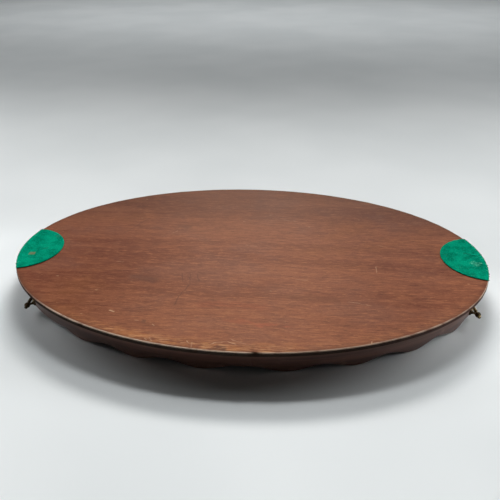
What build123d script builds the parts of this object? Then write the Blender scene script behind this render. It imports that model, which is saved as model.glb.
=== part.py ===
"""Oval gallery tray with two drop bail handles, lying upside down on its scalloped rim.

Millimetres, +Z up.  The origin is on the surface the tray lies on, under the middle of
the board.  X runs along the tray's length, and -Y is the front.  The underside of the
board faces up, so "below the board" is where the tray's well is.

Places round the oval are eccentric angles in degrees: 0 is the right-hand tip, 180 the
left-hand tip, and -90 the middle of the front edge.
"""

import os
from math import atan2, ceil, cos, degrees, radians, sin, sqrt

from build123d import *

# ---------------------------------------------------------------- driving dimensions
tray_length = 610.0
tray_width = 402.0
board_thickness = 5.0
underside_arris = 1.5          # rounding of the board's outer arris
inside_arris = 1.0             # rounding of the arris on the well's side

gallery_inset = 7.0            # board edge to the gallery's outer face
gallery_thickness = 3.5
gallery_height = 26.5          # board to the crest of the rim
housing_depth = 1.5            # how far the gallery is let into the board
housing_clearance = 0.1
seat_clearance = 0.03          # bead against the gallery
joint_angle = -87.0            # where the two gallery strips meet at the front

waves_per_strip = 12
wave_height = 7.0
left_strip_plain_run = 3.0     # degrees of plain rim before the left strip's first wave
rim_step = 0.4                 # degrees between the points that draw the rim

bead_size = 6.0
bead_round = 5.0

felt_radius = 52.0
felt_thickness = 1.2
felt_edge_margin = 1.0         # felt stops this far inside the board's edge
felt_inset = 3.0               # centre of each disc, in from the tip
felt_shift = {"right": 4.0, "left": -10.0}     # glued on by eye, off the long axis

# Angles of the handles and of the rim beside them are counted from the middle of each strip.
handle_angle = 28.5            # handle posts
hand_dip = 15.0                # rim over the crests' level between the posts
dip_half_angle = 26.6
dip_shoulder_angle = 27.5
post_land = 5.0                # rim over the crests' level, plain behind the posts
plain_rim_angle = {"right": 29.8, "left": 41.0}     # the plain land ends here
wave_start_angle = {"right": 33.0, "left": 45.0}    # full scallops from here

hinge_stand_off = 9.0          # gallery's outer face to the hinge axis
hinge_height = 10.0            # rim crest to the hinge axis
hinge_clearance = 0.06         # radial, spigot in post
hinge_end_play = 0.4
post_ball_radius = 3.4
post_neck_radius = 1.3
post_neck_flare = 2.4
post_flare_height = 2.5        # above the rosette
post_shank_radius = 1.6
post_shank_clearance = 0.1
post_shank_proud = 1.0         # shank showing beyond its nut
rosette_radius = 4.2
rosette_rim_radius = 3.2
rosette_thickness = 1.3
rosette_step = 0.6             # height of the bevel round its face
washer_radius = 4.0
washer_thickness = 0.8
washer_stand_off = 0.12        # flat washer across the hollow of the curved wall
nut_across_flats = 6.0
nut_thickness = 2.5

bail_rod_radius = 2.0
bail_spigot_radius = 1.3
bail_reach = 32.5              # hinge axis to the middle of the bow
bail_lead = 6.0                # straight rod beside each post
bail_taper = 3.0               # of the lead, turned down to meet the spigot
bail_foot_bend = 20.0
bail_floor_gap = 0.3           # bow to the surface that the tray lies on
cap_radius = 2.0
cap_flat = 1.5                 # sliced off the cap where it faces the post
cap_grip = 1.2                 # how far the spigot is let into the cap

# ------------------------------------------------------------------ derived sizes
half_length = tray_length / 2
half_width = tray_width / 2
board_low = gallery_height
board_top = board_low + board_thickness
gallery_outer = (half_length - gallery_inset, half_width - gallery_inset)
gallery_inner = tuple(axis - gallery_thickness for axis in gallery_outer)
gallery_top = board_low + housing_depth
strip_sweep = 180.0            # each strip goes half way round, in degrees
strip_middle = {
    "right": joint_angle + strip_sweep / 2,
    "left": joint_angle - strip_sweep / 2,
}
cut_spare = 2.0                # how far cutting shapes run past what they cut


def oval_point(axes, angle, height=0.0):
    """The point at an eccentric angle on the oval with these half axes."""
    return Vector(axes[0] * cos(radians(angle)), axes[1] * sin(radians(angle)), height)


def oval_normal(axes, angle):
    """The outward unit normal of that oval."""
    across = Vector(cos(radians(angle)) / axes[0], sin(radians(angle)) / axes[1], 0)
    return across.normalized()


def oval_plate(axes, low, high):
    """An upright prism of the oval between two heights."""
    return Pos(0, 0, low) * extrude(Ellipse(*axes), high - low)


def smooth_step(value, start, end):
    """0 before start, 1 after end, and an S between them."""
    share = min(max((value - start) / (end - start), 0.0), 1.0)
    return share * share * (3 - 2 * share)


# ---------------------------------------------------------------- the rim's outline
def wave_lift(side, angle):
    """How far the scallops lift the rim off its crest level."""
    plain_run = left_strip_plain_run if side == "left" else 0.0
    run = max(abs(angle - joint_angle) - plain_run, 0.0)
    pitch = (strip_sweep - plain_run) / waves_per_strip
    return wave_height * (1 + cos(radians(360.0 * run / pitch))) / 2


def rim_lift(side, angle):
    """Rim height over the crest level: scallops, a land at each post and a dip between."""
    off_middle = abs(angle - strip_middle[side])
    waves = smooth_step(off_middle, plain_rim_angle[side], wave_start_angle[side])
    dip = 1 - smooth_step(off_middle, dip_half_angle, dip_shoulder_angle)
    land = post_land + dip * (hand_dip - post_land)
    return waves * wave_lift(side, angle) + (1 - waves) * land


def rim_breaks(side):
    """Angles where one strip's rim changes character, in order along the strip."""
    turn, plain_run = (1, 0.0) if side == "right" else (-1, left_strip_plain_run)
    middle = strip_middle[side]
    land_end = plain_rim_angle[side]
    waves_from = wave_start_angle[side]
    pitch = (strip_sweep - plain_run) / waves_per_strip
    breaks = {joint_angle, joint_angle + turn * strip_sweep}
    for wave in range(waves_per_strip):
        trough = joint_angle + turn * (plain_run + wave * pitch)
        if abs(trough - middle) > waves_from:
            breaks.add(trough)
    for angle in (dip_half_angle, dip_shoulder_angle, land_end, waves_from):
        breaks.update((middle - angle, middle + angle))
    return sorted(breaks)


def wall_line(axes, height, start, end):
    """A curve along the oval between two angles, with its height given by a function."""
    count = ceil((end - start) / rim_step)
    angles = [start + (end - start) * step / count for step in range(count + 1)]
    line = [oval_point(axes, angle, height(angle)) for angle in angles]
    nudge = 0.01
    tangents = []
    for angle in (start, end):
        ahead = oval_point(axes, angle + nudge, height(angle + nudge))
        behind = oval_point(axes, angle - nudge, height(angle - nudge))
        tangents.append((ahead - behind).normalized())
    return Spline(line, tangents=tangents).edge()


def joint_half(side):
    """The half of space on one side of the plane through both joints."""
    along = oval_point(gallery_outer, joint_angle)
    block = Box(
        tray_length,
        2 * tray_length,
        4 * board_top,
        align=(Align.MIN, Align.CENTER, Align.CENTER),
    )
    turn = degrees(atan2(along.Y, along.X)) + 90
    return Rot(0, 0, turn if side == "right" else turn + 180) * block


# ------------------------------------------------------------------------- woodwork
def housing():
    """The groove in the board that the gallery and its bead stand in."""
    outer = tuple(axis + housing_clearance for axis in gallery_outer)
    inner = tuple(axis - bead_size - housing_clearance for axis in gallery_inner)
    low = board_low - cut_spare
    high = gallery_top + housing_clearance
    return oval_plate(outer, low, high) - oval_plate(inner, low, high)


def base_board():
    board = oval_plate((half_length, half_width), board_low, board_top)
    edges = board.edges().sort_by(Axis.Z)
    board = fillet(edges[-1], underside_arris)
    board = fillet(board.edges().sort_by(Axis.Z)[0], inside_arris)
    return board - housing()


def gallery_strip(side):
    """Half the gallery wall, sewn up panel by panel between the breaks in its rim."""
    rim = lambda angle: rim_lift(side, angle)
    foot = lambda angle: gallery_top
    breaks = rim_breaks(side)
    faces = []
    for start, end in zip(breaks, breaks[1:]):
        outer_foot, outer_rim, inner_rim, inner_foot = (
            wall_line(axes, height, start, end)
            for axes, height in (
                (gallery_outer, foot),
                (gallery_outer, rim),
                (gallery_inner, rim),
                (gallery_inner, foot),
            )
        )
        loop = (outer_foot, outer_rim, inner_rim, inner_foot, outer_foot)
        faces += [Face.make_surface_from_curves(*pair) for pair in zip(loop, loop[1:])]
    for angle in (breaks[0], breaks[-1]):
        corners = [
            oval_point(gallery_outer, angle, gallery_top),
            oval_point(gallery_outer, angle, rim(angle)),
            oval_point(gallery_inner, angle, rim(angle)),
            oval_point(gallery_inner, angle, gallery_top),
        ]
        faces.append(Face(Wire.make_polygon(corners)))
    strip = Solid(Shell(faces))
    for sign in (1, -1):
        strip = strip - post_hole(side, sign)
    return strip


def inner_bead(side):
    """Quarter-round moulding in the corner between gallery and board, in the well."""
    outer = tuple(axis - seat_clearance for axis in gallery_inner)
    inner = tuple(axis - bead_size for axis in gallery_inner)
    low = board_low - bead_size
    ring = oval_plate(outer, low, gallery_top) - oval_plate(inner, low, gallery_top)
    lower_edges = ring.edges().group_by(Axis.Z)[0]
    corner = lower_edges.sort_by(lambda edge: edge.length)[0]
    return fillet(corner, bead_round) & joint_half(side)


def felt_pad(side):
    """Half-disc pad centred near the tip and trimmed along the board's edge."""
    sign = 1 if side == "right" else -1
    disc = Pos(sign * (half_length - felt_inset), felt_shift[side], board_top) * Cylinder(
        felt_radius, felt_thickness, align=(Align.CENTER, Align.CENTER, Align.MIN)
    )
    limit = (half_length - felt_edge_margin, half_width - felt_edge_margin)
    return disc & oval_plate(limit, board_top, board_top + felt_thickness)


# -------------------------------------------------------------------------- handles
def post_angle(side, sign):
    """Eccentric angle of a post: sign is -1 at the front and 1 at the rear."""
    turn = 1 if side == "right" else -1
    return strip_middle[side] + turn * sign * handle_angle


def post_plane(side, sign):
    """A plane on the gallery's outer face at a post, with its Z pointing outwards."""
    angle = post_angle(side, sign)
    foot = oval_point(gallery_outer, angle, hinge_height)
    return Plane(origin=foot, x_dir=(0, 0, 1), z_dir=oval_normal(gallery_outer, angle))


def hinge_point(side, sign):
    """Where the hinge axis crosses a post."""
    plane = post_plane(side, sign)
    return plane.origin + plane.z_dir * hinge_stand_off


def hinge_line(side):
    """The middle, direction (front to rear) and half length of the line between the posts."""
    front = hinge_point(side, -1)
    span = hinge_point(side, 1) - front
    return front + span / 2, span.normalized(), span.length / 2


def post_hole(side, sign):
    reach = gallery_thickness + cut_spare
    hole = Cylinder(post_shank_radius + post_shank_clearance, 2 * reach)
    return post_plane(side, sign) * hole


def handle_post(side, sign):
    """Turned post: ball with the hinge hole, flared neck, and a shank through the wood."""
    flare = Pos(0, 0, rosette_thickness) * Cone(
        post_neck_flare,
        post_neck_radius,
        post_flare_height,
        align=(Align.CENTER, Align.CENTER, Align.MIN),
    )
    neck = Pos(0, 0, rosette_thickness) * Cylinder(
        post_neck_radius,
        hinge_stand_off - rosette_thickness,
        align=(Align.CENTER, Align.CENTER, Align.MIN),
    )
    stack = washer_stand_off + washer_thickness + nut_thickness
    shank_length = gallery_thickness + stack + post_shank_proud
    shank = Pos(0, 0, rosette_thickness) * Cylinder(
        post_shank_radius,
        shank_length + rosette_thickness,
        align=(Align.CENTER, Align.CENTER, Align.MAX),
    )
    ball = Pos(0, 0, hinge_stand_off) * Sphere(post_ball_radius)
    post = post_plane(side, sign) * (flare + neck + shank + ball)
    hinge = Plane(origin=hinge_point(side, sign), z_dir=hinge_line(side)[1])
    return post - hinge * Cylinder(bail_spigot_radius + hinge_clearance, 4 * post_ball_radius)


def rosette(side, sign):
    """Bevelled round plate under the post, flat against the bulge of the gallery."""
    disc = Cylinder(
        rosette_radius, rosette_thickness, align=(Align.CENTER, Align.CENTER, Align.MIN)
    )
    disc = chamfer(disc.edges().sort_by(Axis.Z)[-1], rosette_radius - rosette_rim_radius, rosette_step)
    hole = Cylinder(post_shank_radius, 4 * rosette_thickness)
    return post_plane(side, sign) * (disc - hole)


def washer(side, sign):
    """Flat washer inside the well."""
    depth = gallery_thickness + washer_stand_off
    disc = Pos(0, 0, -depth) * Cylinder(
        washer_radius, washer_thickness, align=(Align.CENTER, Align.CENTER, Align.MAX)
    )
    hole = Pos(0, 0, -depth) * Cylinder(post_shank_radius, 4 * washer_thickness)
    return post_plane(side, sign) * (disc - hole)


def nut(side, sign):
    depth = gallery_thickness + washer_stand_off + washer_thickness + nut_thickness
    radius = nut_across_flats / sqrt(3)
    hexagon = RegularPolygon(radius, 6) - Circle(post_shank_radius)
    return post_plane(side, sign) * Pos(0, 0, -depth) * extrude(hexagon, nut_thickness)


def bail_plane(side):
    """Plane of the bow at rest, folded into the well: X to the bow, Y along the hinge."""
    middle, along, _ = hinge_line(side)
    drop = (hinge_height - bail_rod_radius - bail_floor_gap) / bail_reach
    inwards = along.cross(Vector(0, 0, 1)) * (-1 if side == "right" else 1)
    to_bow = inwards * sqrt(1 - drop * drop) - Vector(0, 0, drop)
    return Plane(origin=middle, x_dir=to_bow, z_dir=to_bow.cross(along))


def shoulder_offset():
    """Distance from the middle of the hinge axis to the shoulder beside a post."""
    return hinge_line("right")[2] - post_ball_radius - hinge_end_play


def bow_path():
    """Half the bow, drawn flat: straight lead, foot bend, then the long bow arc."""
    start = shoulder_offset() - bail_lead
    turn = 2 * atan2(bail_reach, start)
    bow_radius = start / sin(turn) - bail_foot_bend
    bend_end = Vector(bail_foot_bend * (1 - cos(turn)), start - bail_foot_bend * sin(turn))
    lead = Line((0, start + bail_lead - bail_taper), (0, start))
    bend = RadiusArc((0, start), bend_end, -bail_foot_bend)
    bow = RadiusArc(bend_end, (bail_reach, 0), bow_radius)
    return lead + bend + bow


def bail(side):
    """Swan-neck bail: one round rod, turned down at both ends to hinge in the posts."""
    path = bow_path()
    shoulder = shoulder_offset()
    start = shoulder - bail_taper
    section = Plane(origin=(0, start, 0), z_dir=(0, -1, 0)) * Circle(bail_rod_radius)
    half = sweep(section, path=path)
    taper = Pos(0, start, 0) * Rot(-90, 0, 0) * Cone(
        bail_rod_radius,
        bail_spigot_radius,
        bail_taper,
        align=(Align.CENTER, Align.CENTER, Align.MIN),
    )
    spigot_length = 2 * (post_ball_radius + hinge_end_play) + cap_grip
    spigot = Pos(0, shoulder, 0) * Rot(-90, 0, 0) * Cylinder(
        bail_spigot_radius, spigot_length, align=(Align.CENTER, Align.CENTER, Align.MIN)
    )
    half = half + taper + spigot
    whole = half + mirror(half, about=Plane.XZ)
    return bail_plane(side) * whole


def bail_cap(side, sign):
    """Ball cap on the end of the spigot, outside the post."""
    cap = Sphere(cap_radius)
    flat = Pos(0, -cap_radius, 0) * Box(4 * cap_radius, 2 * cap_flat, 4 * cap_radius)
    cap = cap - flat
    seat = shoulder_offset() + 2 * (post_ball_radius + hinge_end_play)
    centre = seat + cap_radius - cap_flat
    bore = Pos(0, seat - centre, 0) * Rot(-90, 0, 0) * Cylinder(
        bail_spigot_radius, cap_grip, align=(Align.CENTER, Align.CENTER, Align.MIN)
    )
    cap = Pos(0, centre, 0) * (cap - bore)
    if sign < 0:
        cap = mirror(cap, about=Plane.XZ)
    return bail_plane(side) * cap


# ------------------------------------------------------------------------- assembly
def build():
    nodes = {"base_board": base_board()}
    for side in ("right", "left"):
        nodes[f"gallery_{side}"] = gallery_strip(side)
        nodes[f"inner_bead_{side}"] = inner_bead(side)
        nodes[f"felt_pad_{side}"] = felt_pad(side)
        nodes[f"bail_{side}"] = bail(side)
        for sign, place in ((-1, "front"), (1, "rear")):
            nodes[f"handle_post_{side}_{place}"] = handle_post(side, sign)
            nodes[f"rosette_{side}_{place}"] = rosette(side, sign)
            nodes[f"bail_cap_{side}_{place}"] = bail_cap(side, sign)
    posts = [(side, sign) for side in ("right", "left") for sign in (-1, 1)]
    nodes["handle_washers"] = Compound(children=[washer(*post) for post in posts])
    nodes["handle_nuts"] = Compound(children=[nut(*post) for post in posts])
    return nodes


os.makedirs("parts", exist_ok=True)
for name, shape in build().items():
    export_step(shape, f"parts/{name}.step")

for side in ("right", "left"):
    middle, along, half_span = hinge_line(side)
    print(side, "hinge axis through", middle, "along", along, "posts", round(half_span, 3), "mm each way")
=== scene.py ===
# %% [markdown]
# # An old oval gallery tray, turned over
#
# This lesson dresses a mahogany tray that lies upside down, so that its underside faces up.
# We see the oval board with its worn edge, two green baize pads at the tips, and below the
# board the gallery: the low scalloped fence that keeps glasses on the tray. At each end a
# brass bail swings between two posts.
#
# The shapes that must be exact come packed from CAD. Blender adds what makes them real: wood
# that was waxed and scratched for a century, cloth that was rubbed, and brass that went brown.

from math import cos, degrees, hypot, pi, radians, sin, sqrt, tau

import bmesh
import bpy
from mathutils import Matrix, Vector, noise


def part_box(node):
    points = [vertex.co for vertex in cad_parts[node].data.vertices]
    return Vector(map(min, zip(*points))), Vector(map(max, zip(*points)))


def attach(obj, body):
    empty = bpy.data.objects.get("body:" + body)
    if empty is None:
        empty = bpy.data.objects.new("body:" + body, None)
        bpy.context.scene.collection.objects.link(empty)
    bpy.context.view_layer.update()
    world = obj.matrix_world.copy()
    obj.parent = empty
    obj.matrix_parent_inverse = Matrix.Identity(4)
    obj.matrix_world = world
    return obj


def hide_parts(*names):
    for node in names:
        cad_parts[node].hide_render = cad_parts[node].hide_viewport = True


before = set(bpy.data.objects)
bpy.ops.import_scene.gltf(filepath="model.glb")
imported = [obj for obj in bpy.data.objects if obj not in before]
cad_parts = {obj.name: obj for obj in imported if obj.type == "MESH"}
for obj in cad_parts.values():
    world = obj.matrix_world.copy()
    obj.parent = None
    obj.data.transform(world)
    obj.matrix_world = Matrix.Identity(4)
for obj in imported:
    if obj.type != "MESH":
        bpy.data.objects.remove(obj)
scene = bpy.context.scene
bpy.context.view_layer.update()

# %% [markdown]
# The oval, its heights and the gallery's outline are taken from the boxes of the CAD pieces,
# in metres, so the dress follows them. Smaller sizes are written where they are used. The
# oval is centred on the Z axis, with its long axis on X.

# %% Measure the tray
MM = 0.001
board_low, board_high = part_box("base_board")
half_length = board_high[0]
half_width = -board_low[1]
board_bottom, board_top = board_low[2], board_high[2]

gallery_length, gallery_width, gallery_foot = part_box("gallery_right")[1]
gallery_wall = 3.5 * MM
crest_level = 0.0
print("board", round(half_length, 4), "by", round(half_width, 4), "top at", round(board_top, 4))
print("gallery", round(gallery_length, 4), "by", round(gallery_width, 4), "foot at", round(gallery_foot, 4))

# %% [markdown]
# ## Writing sums in node trees
#
# Both shader trees and Geometry Nodes trees do arithmetic with Math nodes, and a long formula
# drawn as boxes is hard to read. A small class lets us write the formula as Python and
# makes the boxes for us. Every operation adds one node and returns its output.

# %% A number inside a node tree
def plug(tree, value, socket):
    """Connect a socket, a Sum or a plain value to an input."""
    if isinstance(value, Sum):
        value = value.socket
    if isinstance(value, bpy.types.NodeSocket):
        tree.links.new(value, socket)
    else:
        socket.default_value = value


class Sum:
    """A number that travels through a node tree, with ordinary arithmetic."""

    def __init__(self, tree, socket):
        self.tree, self.socket = tree, socket

    def math(self, operation, *others):
        box = self.tree.nodes.new("ShaderNodeMath")
        box.operation = operation
        for socket, value in zip(box.inputs, (self, *others)):
            plug(self.tree, value, socket)
        return Sum(self.tree, box.outputs[0])

    def __add__(self, other):
        return self.math("ADD", other)

    def __sub__(self, other):
        return self.math("SUBTRACT", other)

    def __mul__(self, other):
        return self.math("MULTIPLY", other)

    def __truediv__(self, other):
        return self.math("DIVIDE", other)

    def __neg__(self):
        return self * -1.0

    def ramp(self, low, high, start=0.0, end=1.0):
        """An S-shaped step from start to end as the number goes from low to high."""
        box = self.tree.nodes.new("ShaderNodeMapRange")
        box.interpolation_type = "SMOOTHSTEP"
        for name, value in (("Value", self), ("From Min", low), ("From Max", high)):
            plug(self.tree, value, box.inputs[name])
        plug(self.tree, start, box.inputs["To Min"])
        plug(self.tree, end, box.inputs["To Max"])
        return Sum(self.tree, box.outputs[0])


def node(tree, kind, inputs=(), **settings):
    """Add a node, set its options, then plug its inputs by name or number."""
    made = tree.nodes.new(kind)
    for name, value in settings.items():
        setattr(made, name, value)
    for name, value in dict(inputs).items():
        plug(tree, value, made.inputs[name])
    return made


print("node helpers ready")

# %% [markdown]
# ## Materials
#
# A finish is built up the way it came about: the bare wood first, then stain, then wax, then
# a hundred years of scratches. Most recipes start from the coordinates of a point on the
# piece, so the pattern is solid and has no seams. Bent wood is the exception, because its
# grain has to follow the bend.

# %% Start a material
class Finish:
    """One procedural material: its tree, its shader and the noises that patterns use."""

    def __init__(self, name, attribute=None):
        self.material = bpy.data.materials.new(name)
        self.material.use_nodes = True
        self.tree = self.material.node_tree
        self.shader = self.tree.nodes["Principled BSDF"]
        if attribute:
            source = node(self.tree, "ShaderNodeAttribute", attribute_name=attribute)
            self.place = source.outputs["Vector"]
        else:
            source = node(self.tree, "ShaderNodeTexCoord")
            self.place = source.outputs["Object"]
        split = node(self.tree, "ShaderNodeSeparateXYZ", {0: self.place})
        self.x, self.y, self.z = (Sum(self.tree, output) for output in split.outputs)

    def turned(self, angle=0.0, scale=(1, 1, 1), shift=(0, 0, 0)):
        """The place, turned about Z and stretched."""
        box = node(self.tree, "ShaderNodeMapping", {"Vector": self.place})
        box.inputs["Rotation"].default_value = (0, 0, radians(angle))
        box.inputs["Scale"].default_value = scale
        box.inputs["Location"].default_value = shift
        return box.outputs[0]

    def noise(self, where, scale=1.0, detail=4.0, roughness=0.5, warp=0.0):
        inputs = {"Vector": where, "Scale": scale, "Detail": detail, "Roughness": roughness}
        box = node(self.tree, "ShaderNodeTexNoise", {**inputs, "Distortion": warp})
        return Sum(self.tree, box.outputs["Fac"])

    def cells(self, where, scale):
        box = node(self.tree, "ShaderNodeTexVoronoi", {"Vector": where, "Scale": scale})
        return Sum(self.tree, box.outputs["Distance"])

    def mix(self, share, first, second, blend="MIX"):
        """Mix two colours. Each may be a colour socket or red, green and blue."""
        box = node(self.tree, "ShaderNodeMix", data_type="RGBA", blend_type=blend)
        plug(self.tree, share, box.inputs[0])
        for number, colour in ((6, first), (7, second)):
            plug(self.tree, (*colour, 1.0) if isinstance(colour, tuple) else colour, box.inputs[number])
        return box.outputs[2]

    def bump(self, height, depth, strength=1.0, below=None):
        box = node(self.tree, "ShaderNodeBump", {"Height": height, "Distance": depth, "Strength": strength})
        if below is not None:
            plug(self.tree, below, box.inputs["Normal"])
        return box.outputs[0]

    def set(self, **sockets):
        for name, value in sockets.items():
            plug(self.tree, value, self.shader.inputs[name.replace("_", " ")])
        return self.material


print("material helpers ready")

# %% [markdown]
# ### Mahogany of the board
#
# The underside was stained and waxed but never polished like the well. Its grain runs along
# the tray, a few degrees off the long axis. Three sizes of pattern make it: broad bands from
# the way the log grew, fine streaks, and pores, which are short dark dashes. Then come the
# marks of use: pale scratches across the grain, rubbed golden patches at the front edge, and
# an edge that is worn pale on its arris and dark with wax just inside it. The pale arris is
# also a painted highlight. A painted sheen lightens the middle, and painted shade darkens the
# rear half and the board's side.

# %% Distance from the board's edge
def edge_distance(finish):
    """Distance inwards from the oval, from the oval's equation divided by its slope."""
    across = finish.x * (1 / half_length)
    along = finish.y * (1 / half_width)
    square = across * across + along * along
    steep_x = finish.x * (1 / half_length**2)
    steep_y = finish.y * (1 / half_width**2)
    slope = (steep_x * steep_x + steep_y * steep_y).math("SQRT") * 2.0
    return (-(square - 1.0)) / slope


print("edge helper ready for an oval", round(2 * half_length, 3), "by", round(2 * half_width, 3))


# %% A scratch, a stain or a dent along a short line
def line_mark(finish, start, end, width, fade=2.0, wander=None):
    """1 on a mark between two points, given in millimetres, and 0 away from it."""
    run_x, run_y = end[0] - start[0], end[1] - start[1]
    length = hypot(run_x, run_y)
    from_x = finish.x - start[0] * MM
    from_y = finish.y - start[1] * MM
    along = (from_x * (run_x / length) + from_y * (run_y / length)) * (1 / (length * MM))
    aside = from_x * (-run_y / length) + from_y * (run_x / length)
    if wander is not None:
        aside = aside + wander
    beside = aside.math("ABSOLUTE").ramp(width * MM / fade, width * MM, 1.0, 0.0)
    beyond = (along - 0.5).math("ABSOLUTE").ramp(0.30, 0.5, 1.0, 0.0)
    return beside * beyond


def all_marks(finish, marks, wander):
    """The strongest of several marks."""
    total = None
    for start, end, width in marks:
        mark = line_mark(finish, start, end, width, wander=wander)
        total = mark if total is None else total.math("MAXIMUM", mark)
    return total


print("mark helpers ready")

# %% Where the board is marked
# Each mark runs between two points, in millimetres from the middle, and has a width.
BOARD_SCRATCHES = [
    ((-149, -138), (-141, -142), 1.1),
    ((-116, -154), (-110, -155), 0.9),
    ((-95, -160), (-91, -163), 0.8),
    ((-47, -186), (-45.5, -197), 1.0),
    ((-53, -185), (-50, -190), 0.7),
    ((-93, -182), (-89, -189), 0.9),
    ((-98, -184), (-94, -188), 0.8),
    ((-28, -188), (-9, -183), 0.9),
    ((-12, -182), (1, -188), 0.7),
    ((-8, -177), (12, -189), 0.7),
    ((-170, -36), (-158, -34), 0.5),
    ((-112, 44), (-104, 52), 0.4),
    ((-7, 18), (11, 17), 0.6),
    ((60, -60), (78, -63), 0.4),
    ((163, -23), (162, -42), 0.5),
    ((141, -172), (141.5, -181), 0.8),
    ((40, 96), (66, 92), 0.4),
    ((170, 30), (186, 26), 0.4),
    ((118, -104), (150, -110), 0.4),
]
BOARD_CRACKS = [
    ((-80, -54), (-76, -78), 0.7),
    ((-70, -52), (-65, -82), 0.8),
    ((-60, -56), (-55, -76), 0.7),
    ((-65, -80), (-73, -96), 0.9),
    ((-72, -93), (-78, -128), 1.0),
    ((-172, 52), (-150, 92), 0.8),
    ((-180, 36), (-164, 66), 0.7),
]
# A stain also has a strength and a colour.
BOARD_STAINS = [
    ((-22, -147), (22, -150), 5, 0.40, (0.360, 0.098, 0.048)),
    ((14, -152.5), (60, -154), 5, 0.62, (0.430, 0.112, 0.058)),
    ((-60, -118), (40, -122), 9, 0.25, (0.330, 0.082, 0.040)),
    ((-148, -68), (-102, -75), 8, 0.55, (0.096, 0.044, 0.030)),
    ((-108, -157), (-102, -158), 5, 0.55, (0.075, 0.040, 0.032)),
    ((-110, 66), (-84, 66), 6, 0.45, (0.096, 0.046, 0.030)),
    ((-25, -195), (-8, -195.5), 4.5, 0.8, (0.060, 0.034, 0.026)),
    ((40, -96), (120, -104), 9, 0.30, (0.115, 0.048, 0.026)),
    ((190, 78), (240, 70), 8, 0.45, (0.088, 0.030, 0.016)),
]
print("board:", len(BOARD_SCRATCHES), "scratches,", len(BOARD_CRACKS), "cracks,", len(BOARD_STAINS), "stains")

# %% Patterns in the board's wood
GRAIN_ANGLE = 1.5


def lay_board_patterns(wood):
    """Keep the noises that the board's colour and relief share."""
    wood.sway = wood.noise(wood.turned(0, (3, 3, 3)), 1.0, 2)
    wander = wood.noise(wood.turned(0, (70, 70, 70), (0, 3, 0)), 1.0, 3)
    wood.wander = (wander - 0.5) * (7 * MM)
    wood.broad = wood.noise(wood.turned(GRAIN_ANGLE, (1.6, 22, 22)), 1.0, 4, 0.6, 0.3)
    wood.bands = wood.noise(wood.turned(GRAIN_ANGLE, (18, 120, 120), (3, 1, 0)), 1.0, 5, 0.7, 0.2)
    wood.streaks = wood.noise(wood.turned(GRAIN_ANGLE, (60, 430, 430), (0, 7, 0)), 1.0, 4, 0.75)
    wood.flecks = wood.noise(wood.turned(GRAIN_ANGLE, (210, 1000, 1000)), 1.0, 3, 0.75)
    wood.pores = wood.flecks.ramp(0.58, 0.68)
    wood.patches = wood.noise(wood.turned(0, (9, 14, 14), (5, 2, 0)), 1.0, 4, 0.6)
    wood.rubbed = wood.noise(wood.turned(0, (60, 60, 60)), 1.0, 5, 0.65)


print("grain runs", GRAIN_ANGLE, "degrees off the long axis")

# %% Colour of the stained wood
def stained_colour(wood):
    """Bands, streaks and pores, a painted sheen in the middle, painted shade on the rear half and old stains.
    """
    bands, patches, streaks = wood.bands, wood.patches, wood.streaks
    calm = wood.x.ramp(-0.27, -0.14, 0.5, 1.0)
    painted_sheen = wood.x.math("ABSOLUTE").ramp(50 * MM, 200 * MM, 1.0, 0.0)
    painted_rear_shade = wood.y.ramp(0.0, 0.19, 0.0, 0.42)
    colour = wood.mix(wood.broad.ramp(0.40, 0.60), (0.145, 0.040, 0.018), (0.210, 0.068, 0.032))
    for share, tint in (
        (bands.ramp(0.50, 0.66, 0.0, 0.38), (0.276, 0.092, 0.040)),
        (bands.ramp(0.48, 0.34, 0.0, 0.38), (0.113, 0.031, 0.015)),
        (patches.ramp(0.50, 0.68, 0.0, 0.35), (0.241, 0.084, 0.029)),
        (patches.ramp(0.46, 0.34, 0.0, 0.35), (0.153, 0.059, 0.038)),
        (streaks.ramp(0.51, 0.66, 0.0, 0.70) * calm, (0.327, 0.119, 0.054)),
        (streaks.ramp(0.48, 0.35, 0.0, 0.60) * calm, (0.090, 0.025, 0.012)),
        (wood.pores * 0.65, (0.057, 0.016, 0.008)),
        (wood.flecks.ramp(0.43, 0.31, 0.0, 0.55), (0.409, 0.173, 0.073)),
    ):
        colour = wood.mix(share, colour, tint)
    # Painted sheen: the middle of the board is lightened as if it caught the light.
    colour = wood.mix(painted_sheen, colour, (0.067, 0.033, 0.019), "ADD")
    # Painted shade: the rear half of the board is darkened.
    colour = wood.mix(painted_rear_shade, colour, (0.088, 0.037, 0.016))
    for start, end, width, share, tint in BOARD_STAINS:
        stain = line_mark(wood, start, end, width, 4.0, wood.wander * 2.0) * streaks.ramp(0.34, 0.58)
        colour = wood.mix(stain * share, colour, tint)
    return colour


print("stained colour ready")

# %% Wear and a painted highlight along the board's edge
# Each set of fine hatched scratches is turned by an angle and shifted, so no two are alike.
HATCH_TURNS = ((62, 1.0), (-28, 4.0), (8, 7.0))


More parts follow.
